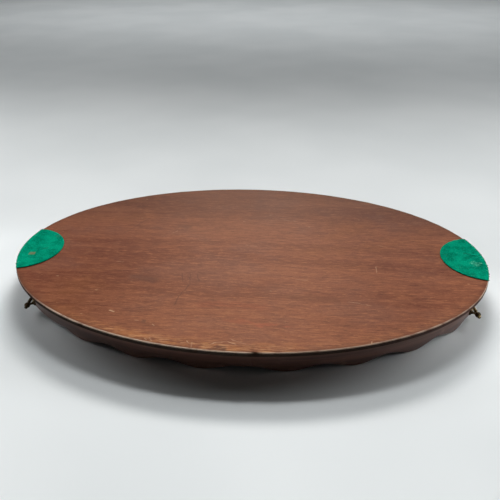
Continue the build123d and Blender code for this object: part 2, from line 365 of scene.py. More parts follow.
def edge_wear_and_highlight(wood, colour):
    """Gold where hands rubbed the front, dark wax inside the edge, and a pale arris, worn and painted as a
    highlight.
    """
    inside, rubbed = edge_distance(wood), wood.rubbed
    near_edge = inside.ramp(2 * MM, 24 * MM, 1.0, 0.0) * wood.y.ramp(-0.05, -0.13)
    near_edge = near_edge * wood.x.ramp(0.02, 0.10, 1.0, 0.25) * wood.x.ramp(-0.19, -0.11, 0.12, 1.0)
    gold = near_edge * rubbed.ramp(0.38, 0.66) * wood.streaks.ramp(0.36, 0.60)
    colour = wood.mix(gold * 0.65, colour, (0.462, 0.176, 0.050))
    for turn, shift in HATCH_TURNS:
        hatch = wood.noise(wood.turned(turn, (60, 900, 900), (shift, 0, 0)), 1.0, 2, 0.5)
        colour = wood.mix(hatch.ramp(0.60, 0.66) * near_edge * 0.8, colour, (0.616, 0.303, 0.136))
    colour = wood.mix(inside.ramp(2.5 * MM, 8 * MM, 0.30, 0.0), colour, (0.061, 0.020, 0.010))
    narrow = wood.x.math("ABSOLUTE").ramp(0.20, 0.29, 1.0, 1.6)
    # The pale arris is worn wood and also a painted highlight: narrower at the ends, weaker at the far left,
    # on the right and at the back.
    arris = (inside * narrow).ramp(1.3 * MM, 2.7 * MM, 1.0, 0.0) * rubbed.ramp(0.34, 0.56, 0.3, 1.0)
    arris = arris * wood.x.ramp(-0.26, -0.20, 0.2, 1.0) * wood.x.ramp(-0.02, 0.08, 1.0, 0.6)
    return wood.mix(arris * wood.y.ramp(-0.08, 0.08, 1.0, 0.5), colour, (0.760, 0.580, 0.450))


print("edge wear ready")

# %% The board's side, its polished face and its scratches
def sides_and_marks(wood, colour):
    """A side painted dark as shade, a polished face in the well, and marks on the face that went unpolished.
    """
    streaks, rubbed = wood.streaks, wood.rubbed
    wood.top = wood.z.ramp(board_top - 1.1 * MM, board_top - 0.5 * MM)
    # Painted shade: the board's side is near black, lighter towards the right end.
    side = wood.mix(wood.x.ramp(0.12, 0.26), (0.016, 0.008, 0.006), (0.070, 0.036, 0.032))
    colour = wood.mix((wood.top * -0.95) + 0.95, colour, side)
    under = wood.z.ramp(board_bottom + 0.2 * MM, board_bottom + 0.6 * MM, 1.0, 0.0)
    polish = wood.mix(streaks.ramp(0.36, 0.64), (0.075, 0.026, 0.016), (0.170, 0.066, 0.040))
    colour = wood.mix(under, colour, polish)

    wood.scratches = all_marks(wood, BOARD_SCRATCHES, wood.wander) * wood.top
    cracks = all_marks(wood, BOARD_CRACKS, wood.wander) * wood.top
    wood.spots = wood.cells(wood.turned(12, (22, 75, 75)), 1.0).ramp(0.030, 0.060, 1.0, 0.0)
    colour = wood.mix(wood.scratches * rubbed.ramp(0.42, 0.60, 0.25, 0.75), colour, (0.560, 0.340, 0.200))
    colour = wood.mix(cracks * streaks.ramp(0.30, 0.55, 0.15, 0.42), colour, (0.060, 0.030, 0.024))
    spots = wood.spots * wood.top * rubbed.ramp(0.45, 0.62, 0.0, 0.7)
    return wood.mix(spots, colour, (0.52, 0.31, 0.16))


print("side, polish and marks ready")

# %% The board's mahogany
def board_mahogany():
    wood = Finish("board_mahogany")
    lay_board_patterns(wood)
    colour = sides_and_marks(wood, edge_wear_and_highlight(wood, stained_colour(wood)))
    rough = (wood.streaks * 0.12 + wood.patches * 0.14 + 0.48) - wood.spots * 0.05
    dent = (wood.streaks * 0.35 + wood.flecks * 0.25 - wood.pores * 0.5) - wood.scratches * 0.5
    relief = wood.bump(wood.sway, 1.2 * MM, 0.6)
    relief = wood.bump(dent, 0.10 * MM, 0.5, relief)
    wood.set(Base_Color=colour, Roughness=rough, Normal=relief, Specular_IOR_Level=0.025)
    return wood.material


mahogany = board_mahogany()
print("finish:", mahogany.name)

# %% [markdown]
# ### Polished mahogany of the gallery and bead
#
# The gallery is thin wood bent round the oval, so its grain follows the bend. Its pattern
# reads an attribute that we shall store on the mesh: the distance along the strip, the
# depth and the height. It was French polished, which a thin clear coat gives.

# %% The gallery's mahogany
def gallery_mahogany():
    wood = Finish("gallery_mahogany", attribute="strip_place")
    bands = wood.noise(wood.turned(0, (2.0, 60, 60)), 1.0, 4, 0.55, 0.2)
    streaks = wood.noise(wood.turned(0, (9, 500, 500), (2, 0, 0)), 1.0, 5, 0.65)
    wear = wood.noise(wood.turned(0, (30, 45, 45), (0, 4, 0)), 1.0, 5, 0.6)
    colour = wood.mix(bands.ramp(0.40, 0.62), (0.085, 0.034, 0.023), (0.180, 0.078, 0.052))
    colour = wood.mix(streaks.ramp(0.50, 0.70, 0.0, 0.5), colour, (0.260, 0.125, 0.082))
    colour = wood.mix(streaks.ramp(0.47, 0.30, 0.0, 0.6), colour, (0.045, 0.018, 0.013))
    colour = wood.mix(wear.ramp(0.58, 0.74, 0.0, 0.4), colour, (0.34, 0.20, 0.14))
    rough = streaks * 0.10 + wear * 0.22 + 0.24
    relief = wood.bump(streaks * 0.6 + wear * 0.4, 0.12 * MM, 0.5)
    wood.set(Base_Color=colour, Roughness=rough, Normal=relief, Coat_Weight=0.5, Coat_Roughness=0.18)
    return wood.material


polished = gallery_mahogany()
print("finish:", polished.name)

# %% [markdown]
# ### Baize
#
# Baize is coarse green wool cloth, napped so that it looks like felt. Close to, it is a mat
# of short fibres in slightly different greens. The left pad is rubbed through to brown
# canvas in one spot. Pale crumbs of broken fibre lie on both, and more of them on the
# right one. Sheen gives wool its soft glow at a low angle.

# %% The green baize
def baize(name, spot, streak, scuff, crumbs):
    """Wool cloth with a bare spot, a dark streak, pale crumbs along a scuff and painted shade at its cut
    edge.
    """
    cloth = Finish(name)
    nap = cloth.noise(cloth.turned(), 2600, 3, 0.7)
    tufts = cloth.noise(cloth.turned(30), 520, 4, 0.7)
    cloud = cloth.noise(cloth.turned(), 60, 4, 0.6)
    colour = cloth.mix(cloud.ramp(0.38, 0.62), (0.0004, 0.200, 0.112), (0.0015, 0.330, 0.190))
    colour = cloth.mix(tufts.ramp(0.50, 0.66, 0.0, 0.65), colour, (0.008, 0.460, 0.280))
    colour = cloth.mix(tufts.ramp(0.47, 0.32, 0.0, 0.60), colour, (0.0004, 0.120, 0.066))
    if spot:
        bare = line_mark(cloth, *spot, 4.6, 3.0) * tufts.ramp(0.32, 0.56)
        colour = cloth.mix(bare * 0.8, colour, (0.24, 0.16, 0.075))
    dark = line_mark(cloth, *streak, 2.2, 3.0) * cloud.ramp(0.3, 0.55)
    colour = cloth.mix(dark * 0.35, colour, (0.02, 0.055, 0.03))
    pale = cloth.noise(cloth.turned(shift=(4, 4, 0)), 170, 4, 0.7).ramp(0.57, 0.66)
    edge = edge_distance(cloth).ramp(1 * MM, 6 * MM, 0.8, 0.06)
    scuffed = line_mark(cloth, *scuff, 9).math("MAXIMUM", edge)
    colour = cloth.mix(pale * scuffed * crumbs, colour, (0.18, 0.62, 0.44))
    smear = line_mark(cloth, *scuff, 5.5, 4.0) * tufts.ramp(0.36, 0.56)
    colour = cloth.mix(smear * crumbs * 0.45, colour, (0.12, 0.52, 0.36))
    # Painted shade: the cloth is darkened close to the wood, along its thin cut edge.
    low = cloth.z.ramp(board_top + 0.35 * MM, board_top + 0.75 * MM, 1.0, 0.0)
    colour = cloth.mix(low * 0.9, colour, (0.0004, 0.012, 0.007))
    relief = cloth.bump(tufts, 0.5 * MM, 0.7)
    relief = cloth.bump(nap, 0.2 * MM, 0.6, relief)
    cloth.set(Base_Color=colour, Roughness=0.95, Normal=relief, Specular_IOR_Level=0.0)
    cloth.set(Sheen_Weight=0.04, Sheen_Roughness=0.5, Sheen_Tint=(0.0, 0.85, 0.6, 1.0))
    return cloth.material


# Ends of each mark, in millimetres from the middle of the tray, and the strength of the crumbs.
PAD_WEAR = {
    "left": {
        "spot": ((-289.5, -25), (-279.5, -24.5)),
        "streak": ((-276, -13), (-268, -9)),
        "scuff": ((-270, 20), (-262, 28)),
        "crumbs": 0.4,
    },
    "right": {
        "spot": None,
        "streak": ((280, 16), (292, 12)),
        "scuff": ((286, -4), (294, -17)),
        "crumbs": 1.0,
    },
}
baize_finish = {side: baize(f"green_baize_{side}", **wear) for side, wear in PAD_WEAR.items()}
print("finishes:", ", ".join(material.name for material in baize_finish.values()))

# %% [markdown]
# ### Aged brass
#
# Cast and turned brass goes brown where nobody touches it and stays bright where hands rub
# it. A noise decides which is which, and the brown parts are rougher too. The posts have gone
# nearly all brown. The left bail is a darker copy of the right bail's brass, browned further
# as painted shade, and the right bail keeps more of its bright brass.

# %% The brass
def aged_brass(name, bright, tarnish):
    """Brass of which a larger share is brown the higher the tarnish."""
    brass = Finish(name)
    cloud = brass.noise(brass.turned(), 160, 5, 0.65)
    speck = brass.noise(brass.turned(), 900, 4, 0.7)
    dull = (cloud * 0.7 + speck * 0.3).ramp(0.60 - 0.25 * tarnish, 0.72 - 0.25 * tarnish)
    colour = brass.mix(dull, bright, (0.038, 0.024, 0.011))
    colour = brass.mix(speck.ramp(0.62, 0.75, 0.0, 0.8), colour, (0.022, 0.014, 0.008))
    relief = brass.bump(speck, 0.06 * MM, 0.5)
    brass.set(Base_Color=colour, Roughness=dull * 0.30 + 0.20, Normal=relief, Metallic=1.0)
    return brass.material


bail_brass = aged_brass("aged_brass_bail", (0.64, 0.48, 0.22), 0.55)
# Painted shade: the left bail's brass is a darker copy of the right bail's.
shaded_bail_brass = aged_brass("shaded_copy_brass_bail", (0.60, 0.42, 0.17), 1.3)
post_brass = aged_brass("browned_brass_post", (0.60, 0.42, 0.17), 1.2)
screw_brass = aged_brass("dull_brass_screws", (0.52, 0.36, 0.15), 0.9)
brasses = (bail_brass, shaded_bail_brass, post_brass, screw_brass)
print("finishes:", ", ".join(material.name for material in brasses))

# %% [markdown]
# ## The board
#
# CAD gives the board as a perfect oval plate. The real one has an arris that was knocked and
# rubbed for years. We build it as rings of points: each ring follows the oval, and together
# they draw the rounded edge. A smooth noise then pulls the arris in by up to 0.4 mm, and one
# chip at the front goes a millimetre deeper. Almost nothing moves out, so the board keeps
# its size.

# %% Points on the oval and the wear of its edge
CHIP_ANGLE, CHIP_REACH = -86.2, 0.9


def oval(axes, angle):
    """The point of an oval at an angle."""
    return axes[0] * cos(angle), axes[1] * sin(angle)


def oval_outwards(axes, angle):
    """The direction straight out of the oval there, one unit long."""
    x, y = cos(angle) / axes[0], sin(angle) / axes[1]
    size = hypot(x, y)
    return x / size, y / size


def arris_wear(angle):
    """How far the arris is rubbed back at an angle, in metres."""
    x, y = oval((half_length, half_width), angle)
    rubbed = noise.fractal(Vector((x, y, 0)) * 55, 1.0, 2.0, 4)
    knocks = noise.noise(Vector((x, y, 3)) * 160)
    chip = max(0.0, 1.0 - abs(degrees(angle) - CHIP_ANGLE) / CHIP_REACH)
    return (0.16 + 0.20 * rubbed) * MM + max(0.0, knocks - 0.45) * 1.3 * MM + 1.1 * MM * chip**0.7


print("chip in the arris at", CHIP_ANGLE, "degrees")

# %% Skins from rings of points
def closed_rings(rings, top_centre, bottom_centre):
    """Join rings of points into a closed skin, with a fan at each end."""
    mesh = bmesh.new()
    made = [[mesh.verts.new(point) for point in ring] for ring in rings]
    count = len(made[0])
    for upper, lower in zip(made, made[1:]):
        for here in range(count):
            after = (here + 1) % count
            mesh.faces.new((upper[here], lower[here], lower[after], upper[after]))
    for centre, ring in ((top_centre, made[0]), (bottom_centre, made[-1])):
        middle = mesh.verts.new(centre)
        for here in range(count):
            mesh.faces.new((middle, ring[here], ring[(here + 1) % count]))
    bmesh.ops.recalc_face_normals(mesh, faces=mesh.faces)
    return mesh


def piece_from(mesh, name, material, smooth=True):
    """Turn a bmesh into an object in the scene."""
    data = bpy.data.meshes.new(name)
    mesh.to_mesh(data)
    mesh.free()
    data.materials.append(material)
    if smooth:
        data.polygons.foreach_set("use_smooth", [True] * len(data.polygons))
    made = bpy.data.objects.new(name, data)
    scene.collection.objects.link(made)
    return made


print("skin helpers ready")

# %% Build the board
def board_section():
    """Inset and height of every ring, from the middle of the top round to the bottom."""
    top_round, low_round = 1.5 * MM, 1.0 * MM
    section = [(inset * MM, board_top) for inset in (150, 110, 70, 35, 12, 5, 3, 2.2)]
    for share in range(9):
        turn = share / 8 * pi / 2
        section.append((top_round * (1 - sin(turn)), board_top - top_round * (1 - cos(turn))))
    for share in range(5):
        turn = share / 4 * pi / 2
        section.append((low_round * (1 - cos(turn)), board_bottom + low_round * (1 - sin(turn))))
    return section + [(inset * MM, board_bottom) for inset in (4, 20, 60, 110, 150)]


def board_rings(steps=1200):
    """Rings of points: ovals shrunk to the middle inside, and worn back at the edge."""
    axes = (half_length, half_width)
    flat_from, flat_span = 30 * MM, 140 * MM
    worn_down, worn_in, worn_edge_in = 2.4 * MM, 4 * MM, 2.0 * MM
    rings = []
    for inset, height in board_section():
        upper = height > board_top - worn_down
        shrink = 1 - (inset - flat_from) / flat_span
        ring = []
        for step in range(steps):
            angle = -pi + tau * step / steps
            if inset > flat_from:
                x, y = oval([axis - flat_from for axis in axes], angle)
                ring.append((x * shrink, y * shrink, height))
                continue
            x, y = oval(axes, angle)
            out_x, out_y = oval_outwards(axes, angle)
            wear = arris_wear(angle) * max(0.0, 1 - inset / worn_in) * (1.0 if upper else 0.25)
            back = inset + wear
            drop = wear * 0.8 if upper and inset < worn_edge_in else 0.0
            ring.append((x - out_x * back, y - out_y * back, height - drop))
        rings.append(ring)
    return rings


board = piece_from(
    closed_rings(board_rings(), (0, 0, board_top), (0, 0, board_bottom)),
    "old_board",
    mahogany,
)
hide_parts("base_board")
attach(board, "tray")
print("board:", len(board.data.polygons), "faces")

# %% [markdown]
# ## The gallery
#
# The gallery follows a rule: a thin wall stands on an oval, and its free edge rises and falls
# in even scallops, fading to a plain land at the handle posts and dipping between them for the
# hand. That suits Geometry Nodes. The tree bends a flat grid: one direction of the grid runs
# along the strip, and the other round the wall's section, over a rounded edge and back.
#
# The wall is bent in two strips that meet at the front and the back. Both come from the same
# tree with different inputs. The first and last rows of the grid are drawn together, which
# closes the ends.

# %% Inputs and ends of a geometry tree
def tree_input(tree, name, value=None):
    """Add an input: a whole number, a number, or a material where no value is given."""
    kind = {int: "NodeSocketInt", float: "NodeSocketFloat"}.get(type(value), "NodeSocketMaterial")
    socket = tree.interface.new_socket(name=name, in_out="INPUT", socket_type=kind)
    if value is not None:
        socket.default_value = value


def close_tree(tree, geometry, entry):
    """End a tree: make its shape real, give it its finish and send it out."""
    tree.interface.new_socket(name="Geometry", in_out="OUTPUT", socket_type="NodeSocketGeometry")
    real = node(tree, "GeometryNodeRealizeInstances", {"Geometry": geometry})
    finish = {"Geometry": real.outputs[0], "Material": entry.outputs["Finish"]}
    painted = node(tree, "GeometryNodeSetMaterial", finish)
    tree.links.new(painted.outputs[0], node(tree, "NodeGroupOutput").inputs[0])
    return tree


def bake_tree(tree, name, values, source=None):
    """Run a geometry tree once with these inputs and keep the result as a plain mesh."""
    holder = bpy.data.objects.new(name, source or bpy.data.meshes.new(name))
    scene.collection.objects.link(holder)
    modifier = holder.modifiers.new("tree", "NODES")
    modifier.node_group = tree
    for item in tree.interface.items_tree:
        if item.in_out == "INPUT" and item.name in values:
            modifier[item.identifier] = values[item.name]
    ready = holder.evaluated_get(bpy.context.evaluated_depsgraph_get())
    result = bpy.data.meshes.new_from_object(ready)
    holder.modifiers.clear()
    holder.data = result
    result.name = name
    return holder


print("tree helpers ready")

# %% Sizes of the gallery's wall
# Lengths are in metres and angles in degrees. Turn is 1 for a strip that is bent one way
# round the oval, and -1 for the other way.
WALL_SIZES = {
    "Half Length": 0.298,
    "Half Width": 0.194,
    "Wall": 0.0035,
    "Foot Height": 0.028,
    "Wave Height": 0.007,
    "Waves": 12.0,
    "Plain Run": 0.0,
    "Joint Angle": -87.0,
    "Turn": 1.0,
    "Strip Middle": 3.0,
    "Hand Dip": 0.015,
    "Dip Half Angle": 26.6,
    "Dip Shoulder": 27.5,
    "Post Land": 0.005,
    "Plain Rim": 29.8,
    "Wave Start": 33.0,
    "Edge Round": 0.0012,
    "Hand Cut": 0.00018,
}
SECTION_POINTS = 20
EDGE_SUPPORT, FOOT_SUPPORT = 1.2 * MM, 6 * MM
print("wall:", len(WALL_SIZES), "sizes,", SECTION_POINTS, "points round its section")

# %% Height of the gallery's free edge
def rim_height(tree, size, angle):
    """Scallops that fade to a plain land at the posts, with a dip for the hand between."""
    run = ((angle - size["Joint Angle"]).math("ABSOLUTE") - size["Plain Run"]).math("MAXIMUM", 0.0)
    pitch = (-(size["Plain Run"] - 180.0)) / size["Waves"]
    wave = ((run / pitch * tau).math("COSINE") + 1.0) * size["Wave Height"] * 0.5
    off_middle = (angle - size["Strip Middle"]).math("ABSOLUTE")
    waves = off_middle.ramp(size["Plain Rim"], size["Wave Start"])
    dip = off_middle.ramp(size["Dip Half Angle"], size["Dip Shoulder"], 1.0, 0.0)
    land = dip * (size["Hand Dip"] - size["Post Land"]) + size["Post Land"]
    rim = waves * wave + (-(waves - 1.0)) * land
    hand = {"W": angle, "Scale": 0.22, "Detail": 2.0}
    unevenness = node(tree, "ShaderNodeTexNoise", hand, noise_dimensions="1D")
    return rim + Sum(tree, unevenness.outputs[0]) * size["Hand Cut"]


print("rim formula ready")

# %% Round the wall's section
def wall_section(size, column, rim):
    """How far through the wall, and how high, each point round the section lies."""
    last = SECTION_POINTS - 1
    over = ((column - 3.0) / float(last - 6)).math("MAXIMUM", 0.0).math("MINIMUM", 1.0)
    over = over * column.math("LESS_THAN", last - 0.5)
    across = -((over * pi).math("COSINE") * 0.5 - 0.5)
    edge = rim + (-((over * pi).math("SINE") - 1.0)) * size["Edge Round"]
    outer_support = (column - 2.0).math("ABSOLUTE").math("LESS_THAN", 0.5)
    inner_support = (column - float(last - 2)).math("ABSOLUTE").math("LESS_THAN", 0.5)
    edge = edge + (outer_support + inner_support) * EDGE_SUPPORT
    inner_foot = column.math("GREATER_THAN", last - 1.5)
    foot_side = (column.math("LESS_THAN", 1.5) + inner_foot).math("MINIMUM", 1.0)
    at_foot = column.math("LESS_THAN", 0.5) + inner_foot
    height = edge + foot_side * (size["Foot Height"] - edge - FOOT_SUPPORT)
    height = height + at_foot * (size["Foot Height"] - height)
    return across, height


print("section formula ready")

# %% The scalloped wall as a tree
def scalloped_wall_tree():
    """Bend a flat grid into one strip of the gallery."""
    tree = bpy.data.node_groups.new("scalloped_wall", "GeometryNodeTree")
    for name, value in {**WALL_SIZES, "Steps Along": 901, "Finish": None}.items():
        tree_input(tree, name, value)
    entry = node(tree, "NodeGroupInput")
    size = {name: Sum(tree, entry.outputs[name]) for name in (*WALL_SIZES, "Steps Along")}

    counts = {"Vertices X": size["Steps Along"], "Vertices Y": SECTION_POINTS}
    grid = node(tree, "GeometryNodeMeshGrid", {"Size X": 1.0, "Size Y": 1.0, **counts})
    flat = node(tree, "ShaderNodeSeparateXYZ", {0: node(tree, "GeometryNodeInputPosition").outputs[0]})
    last_row = size["Steps Along"] - 1.0
    row = ((Sum(tree, flat.outputs[0]) + 0.5) * last_row).math("ROUND")
    column = ((Sum(tree, flat.outputs[1]) + 0.5) * float(SECTION_POINTS - 1)).math("ROUND")

    share = ((row - 1.0) / (last_row - 2.0)).math("MAXIMUM", 0.0).math("MINIMUM", 1.0)
    angle = size["Joint Angle"] + size["Turn"] * share * 180.0
    rim = rim_height(tree, size, angle)
    across, height = wall_section(size, column, rim)
    ends = row.math("LESS_THAN", 0.5) + row.math("GREATER_THAN", last_row - 0.5)
    middle = -(ends - 1.0)
    across = across * middle + ends * 0.5
    height = height * middle + ends * (size["Foot Height"] + rim) * 0.5

    turned = angle * (pi / 180)
    depth = size["Wall"] * across
    bent_x = turned.math("COSINE") * (size["Half Length"] - depth)
    bent_y = turned.math("SINE") * (size["Half Width"] - depth)
    bent = node(tree, "ShaderNodeCombineXYZ", {0: bent_x, 1: bent_y, 2: height})
    place = node(tree, "ShaderNodeCombineXYZ", {0: turned * 0.25, 1: depth, 2: height})
    kept = node(
        tree,
        "GeometryNodeStoreNamedAttribute",
        {"Geometry": grid.outputs[0], "Name": "strip_place", "Value": place.outputs[0]},
        data_type="FLOAT_VECTOR",
        domain="POINT",
    )
    moved = node(tree, "GeometryNodeSetPosition", {"Geometry": kept.outputs[0], "Position": bent.outputs[0]})
    welded = node(tree, "GeometryNodeMergeByDistance", {"Geometry": moved.outputs[0], "Distance": 1e-6})
    smooth = node(tree, "GeometryNodeSetShadeSmooth", {"Geometry": welded.outputs[0]})
    return close_tree(tree, smooth.outputs[0], entry)


wall_tree = scalloped_wall_tree()
print("tree:", wall_tree.name, len(wall_tree.nodes), "nodes")

# %% Weld a baked piece
def face_outwards(piece):
    """Weld and turn every face of a closed piece outwards."""
    mesh = bmesh.new()
    mesh.from_mesh(piece.data)
    bmesh.ops.remove_doubles(mesh, verts=mesh.verts, dist=1e-6)
    bmesh.ops.dissolve_degenerate(mesh, edges=mesh.edges, dist=1e-7)
    bmesh.ops.recalc_face_normals(mesh, faces=mesh.faces)
    mesh.to_mesh(piece.data)
    open_edges = sum(1 for edge in mesh.edges if not edge.is_manifold)
    mesh.free()
    return open_edges


print("weld helper ready")

# %% Make both strips
STRIPS = {
    "right": {
        "Turn": 1.0,
        "Strip Middle": 3.0,
        "Plain Run": 0.0,
        "Plain Rim": 29.8,
        "Wave Start": 33.0,
    },
    "left": {
        "Turn": -1.0,
        "Strip Middle": -177.0,
        "Plain Run": 3.0,
        "Plain Rim": 41.0,
        "Wave Start": 45.0,
    },
}
shared = {
    "Half Length": gallery_length,
    "Half Width": gallery_width,
    "Wall": gallery_wall,
    "Foot Height": gallery_foot,
    "Finish": polished,
}
for side, own in STRIPS.items():
    strip = bake_tree(wall_tree, f"gallery_strip_{side}", {**shared, **own})
    loose = face_outwards(strip)
    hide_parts(f"gallery_{side}")
    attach(strip, "tray")
    print(strip.name, len(strip.data.polygons), "faces,", loose, "open edges")

# %% [markdown]
# ## The baize pads
#
# Each pad is a disc of cloth cut off along the edge of the board. Its outline is two arcs, so
# a grid of points between the arcs covers it exactly. The cloth was glued down by hand: it is
# a little thicker in places, creased where it bunched, and its cut edge wanders.

# %% Outline of one pad
felt_radius, felt_inset, felt_margin = 52 * MM, 3 * MM, 0.4 * MM
felt_shift = {"right": 4 * MM, "left": -10 * MM}
felt_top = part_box("felt_pad_right")[1][2]


def felt_edges(side, y):
    """Inner arc and outer edge of the pad at one y, both as x towards the tip."""
    reach = max(0.0, felt_radius**2 - (y - felt_shift[side]) ** 2)
    inner = half_length - felt_inset - sqrt(reach)
    outer = (half_length - felt_margin) * sqrt(1 - (y / (half_width - felt_margin)) ** 2)
    return inner, outer


def felt_corner(side, way):
    """The y where the two edges meet, found by halving."""
    near, far = 0.0, felt_radius
    for _ in range(40):
        middle = (near + far) / 2
        inner, outer = felt_edges(side, felt_shift[side] + way * middle)
        near, far = (middle, far) if inner < outer else (near, middle)
    return felt_shift[side] + way * near


for side in felt_shift:
    print(side, "pad from y", round(felt_corner(side, -1), 4), "to", round(felt_corner(side, 1), 4))

# %% [markdown]
# The top of the pad is a fine grid, so that creases can be real folds in the mesh instead of
# painted ones. Towards the cut edge the cloth thins and drops to the wood.

# %% Creases of the pads
# Each crease runs between two points, in millimetres, and has a height.
CREASES = {
    "right": [
        ((289, 13), (303, 4), 0.6),
        ((286, -6), (303, -14), 0.7),
        ((288, 10), (303, 12), 0.6),
        ((292, -18), (303, -2), 0.6),
    ],
    "left": [((-282, -14), (-266, -8), 0.3)],
}
CREASE_REACH = 2.4 * MM


def crease_height(side, x, y):
    """How far the creases of a pad lift the cloth at a point."""
    total = 0.0
    for start, end, size in CREASES[side]:
        run = Vector((end[0] - start[0], end[1] - start[1])) * MM
        from_start = Vector((x - start[0] * MM, y - start[1] * MM))
        share = min(1.0, max(0.0, from_start.dot(run) / run.length_squared))
        away = (from_start - run * share).length
        fold = max(0.0, 1 - (away / CREASE_REACH) ** 2) ** 2
        total += size * MM * fold * min(1.0, 4 * share + 0.2)
    return total


print("creases:", {side: len(creases) for side, creases in CREASES.items()})

# %% The upper face of a pad
def pad_surface(side, rows, columns):
    """Points of the cloth's upper face, row by row from its inner arc to its outer edge."""
    way = 1 if side == "right" else -1
    low, high = felt_corner(side, -1), felt_corner(side, 1)
    thick = felt_top - board_top
    grid = []
    for row in range(rows + 1):
        y = low + (high - low) * (0.5 - 0.5 * cos(pi * row / rows))
        inner, outer = felt_edges(side, y)
        line = []
        for column in range(columns + 1):
            share = 0.5 - 0.5 * cos(pi * column / columns)
            x = inner + (outer - inner) * share
            frill = noise.noise(Vector((way * x, y, 0)) * 420) * 0.35 * MM
            if column == columns:
                x += max(0.0, noise.fractal(Vector((y, 0, way)) * 350, 0.8, 2.0, 3)) * 1.3 * MM
            rim = min(x - inner, outer - x, y - low, high - y)
            edge = min(1.0, max(0.0, rim / (0.9 * MM)))
            lift = noise.fractal(Vector((way * x, y, 5)) * 130, 1.0, 2.0, 3) * 0.16 * MM
            height = board_top + thick * (0.45 + 0.55 * sqrt(edge)) + edge * (lift - 0.12 * MM)
            height += crease_height(side, way * x, y) * edge
            line.append((way * (x + (frill if column in (0, columns) else 0)), y, height))
        grid.append(line)
    return grid


print("pad surface helper ready")

# %% Build both pads
def rim_of(sheet):
    """The points round the edge of a grid, in order."""
    right_side = [line[-1] for line in sheet[1:]]
    left_side = [line[0] for line in sheet[-2:0:-1]]
    return sheet[0] + right_side + sheet[-1][-2::-1] + left_side


def felt_pad(side, rows=130, columns=90):
    """A closed sheet of cloth: upper face, lower face on the wood, and the cut edge."""
    mesh = bmesh.new()
    grid = pad_surface(side, rows, columns)
    top = [[mesh.verts.new(point) for point in line] for line in grid]
    base = [[mesh.verts.new((x, y, board_top + 0.02 * MM)) for x, y, _ in line] for line in grid]
    for sheet in (top, base):
        for here, after in zip(sheet, sheet[1:]):
            for column in range(columns):
                mesh.faces.new((here[column], here[column + 1], after[column + 1], after[column]))
    rim_top, rim_base = rim_of(top), rim_of(base)
    for here in range(len(rim_top)):
        after = (here + 1) % len(rim_top)
        mesh.faces.new((rim_top[here], rim_top[after], rim_base[after], rim_base[here]))
    bmesh.ops.remove_doubles(mesh, verts=mesh.verts, dist=2e-6)
    bmesh.ops.dissolve_degenerate(mesh, edges=mesh.edges, dist=2e-6)
    bmesh.ops.recalc_face_normals(mesh, faces=mesh.faces)
    return mesh


pads = {}
for side in ("right", "left"):
    pad = piece_from(felt_pad(side), f"baize_pad_{side}", baize_finish[side])
    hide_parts(f"felt_pad_{side}")
    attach(pad, "tray")
    low, high = felt_corner(side, -1), felt_corner(side, 1)
    high - low
    pads[side] = pad

# %% [markdown]
# Cut wool has a nap: loose fibres that stand up a little and blur the edge. Geometry Nodes
# scatter bent fibres over the pad, with a fixed seed, so every run gives the same nap.

# %% One fibre
def fibre_mesh():
    """A strip of three short faces, bent over like a loose hair."""
    mesh = bmesh.new()
    pairs = []
    for share in (0.0, 0.4, 0.75, 1.0):
        wide = 0.5 * (1 - 0.7 * share)
        x, z = 0.75 * share**1.6, 0.9 * share - 0.35 * share**2
        pairs.append([mesh.verts.new((x, way * wide * 0.16, z)) for way in (-1, 1)])
    for (low_a, low_b), (high_a, high_b) in zip(pairs, pairs[1:]):
        mesh.faces.new((low_a, low_b, high_b, high_a))
    data = bpy.data.meshes.new("baize_fibre")
    mesh.to_mesh(data)
    mesh.free()
    return data


fibre = bpy.data.objects.new("baize_fibre", fibre_mesh())
print("fibre:", len(fibre.data.polygons), "faces")

# %% A tree that scatters the nap
def nap_tree():
    """Fibres on the upper face of a cloth, turned and sized at random from fixed seeds."""
    tree = bpy.data.node_groups.new("baize_nap", "GeometryNodeTree")
    tree.interface.new_socket(name="Cloth", in_out="INPUT", socket_type="NodeSocketGeometry")
    for name, value in (("Fibres", 3.0e6), ("Length", 0.0008), ("Seed", 7), ("Finish", None)):
        tree_input(tree, name, value)
    entry = node(tree, "NodeGroupInput")
    normal = node(tree, "ShaderNodeSeparateXYZ", {0: node(tree, "GeometryNodeInputNormal").outputs[0]})
    upper = Sum(tree, normal.outputs[2]).math("GREATER_THAN", 0.1)
    sown = {"Mesh": entry.outputs["Cloth"], "Selection": upper}
    sown |= {"Density": entry.outputs["Fibres"], "Seed": entry.outputs["Seed"]}
    points = node(tree, "GeometryNodeDistributePointsOnFaces", sown)
    hair = node(tree, "GeometryNodeObjectInfo", {"Object": fibre})
    spin = node(tree, "FunctionNodeRandomValue", {"Seed": 3}, data_type="FLOAT_VECTOR")
    spin.inputs[0].default_value, spin.inputs[1].default_value = (-0.5, -0.5, 0), (0.5, 0.5, tau)
    size = node(tree, "FunctionNodeRandomValue", {2: 0.5, 3: 1.25, "Seed": 5}, data_type="FLOAT")
    scale = Sum(tree, size.outputs[1]) * Sum(tree, entry.outputs["Length"])
    placed = {"Points": points.outputs[0], "Instance": hair.outputs["Geometry"]}
    placed |= {"Rotation": spin.outputs[0], "Scale": scale}
    hairs = node(tree, "GeometryNodeInstanceOnPoints", placed)
    return close_tree(tree, hairs.outputs[0], entry)


nap = nap_tree()
print("tree:", nap.name, len(nap.nodes), "nodes")

# %% Scatter the nap
NAP_SEEDS = {"right": 7, "left": 11}
for side, pad in pads.items():
    values = {"Finish": baize_finish[side], "Seed": NAP_SEEDS[side]}
    fuzz = bake_tree(nap, f"baize_nap_{side}", values, pad.data.copy())
    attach(fuzz, "tray")
    print(fuzz.name, len(fuzz.data.polygons), "faces")

# %% [markdown]
# ## Bead and brasswork
#
# These CAD pieces already have the right shape, so they keep it and only get their finish.

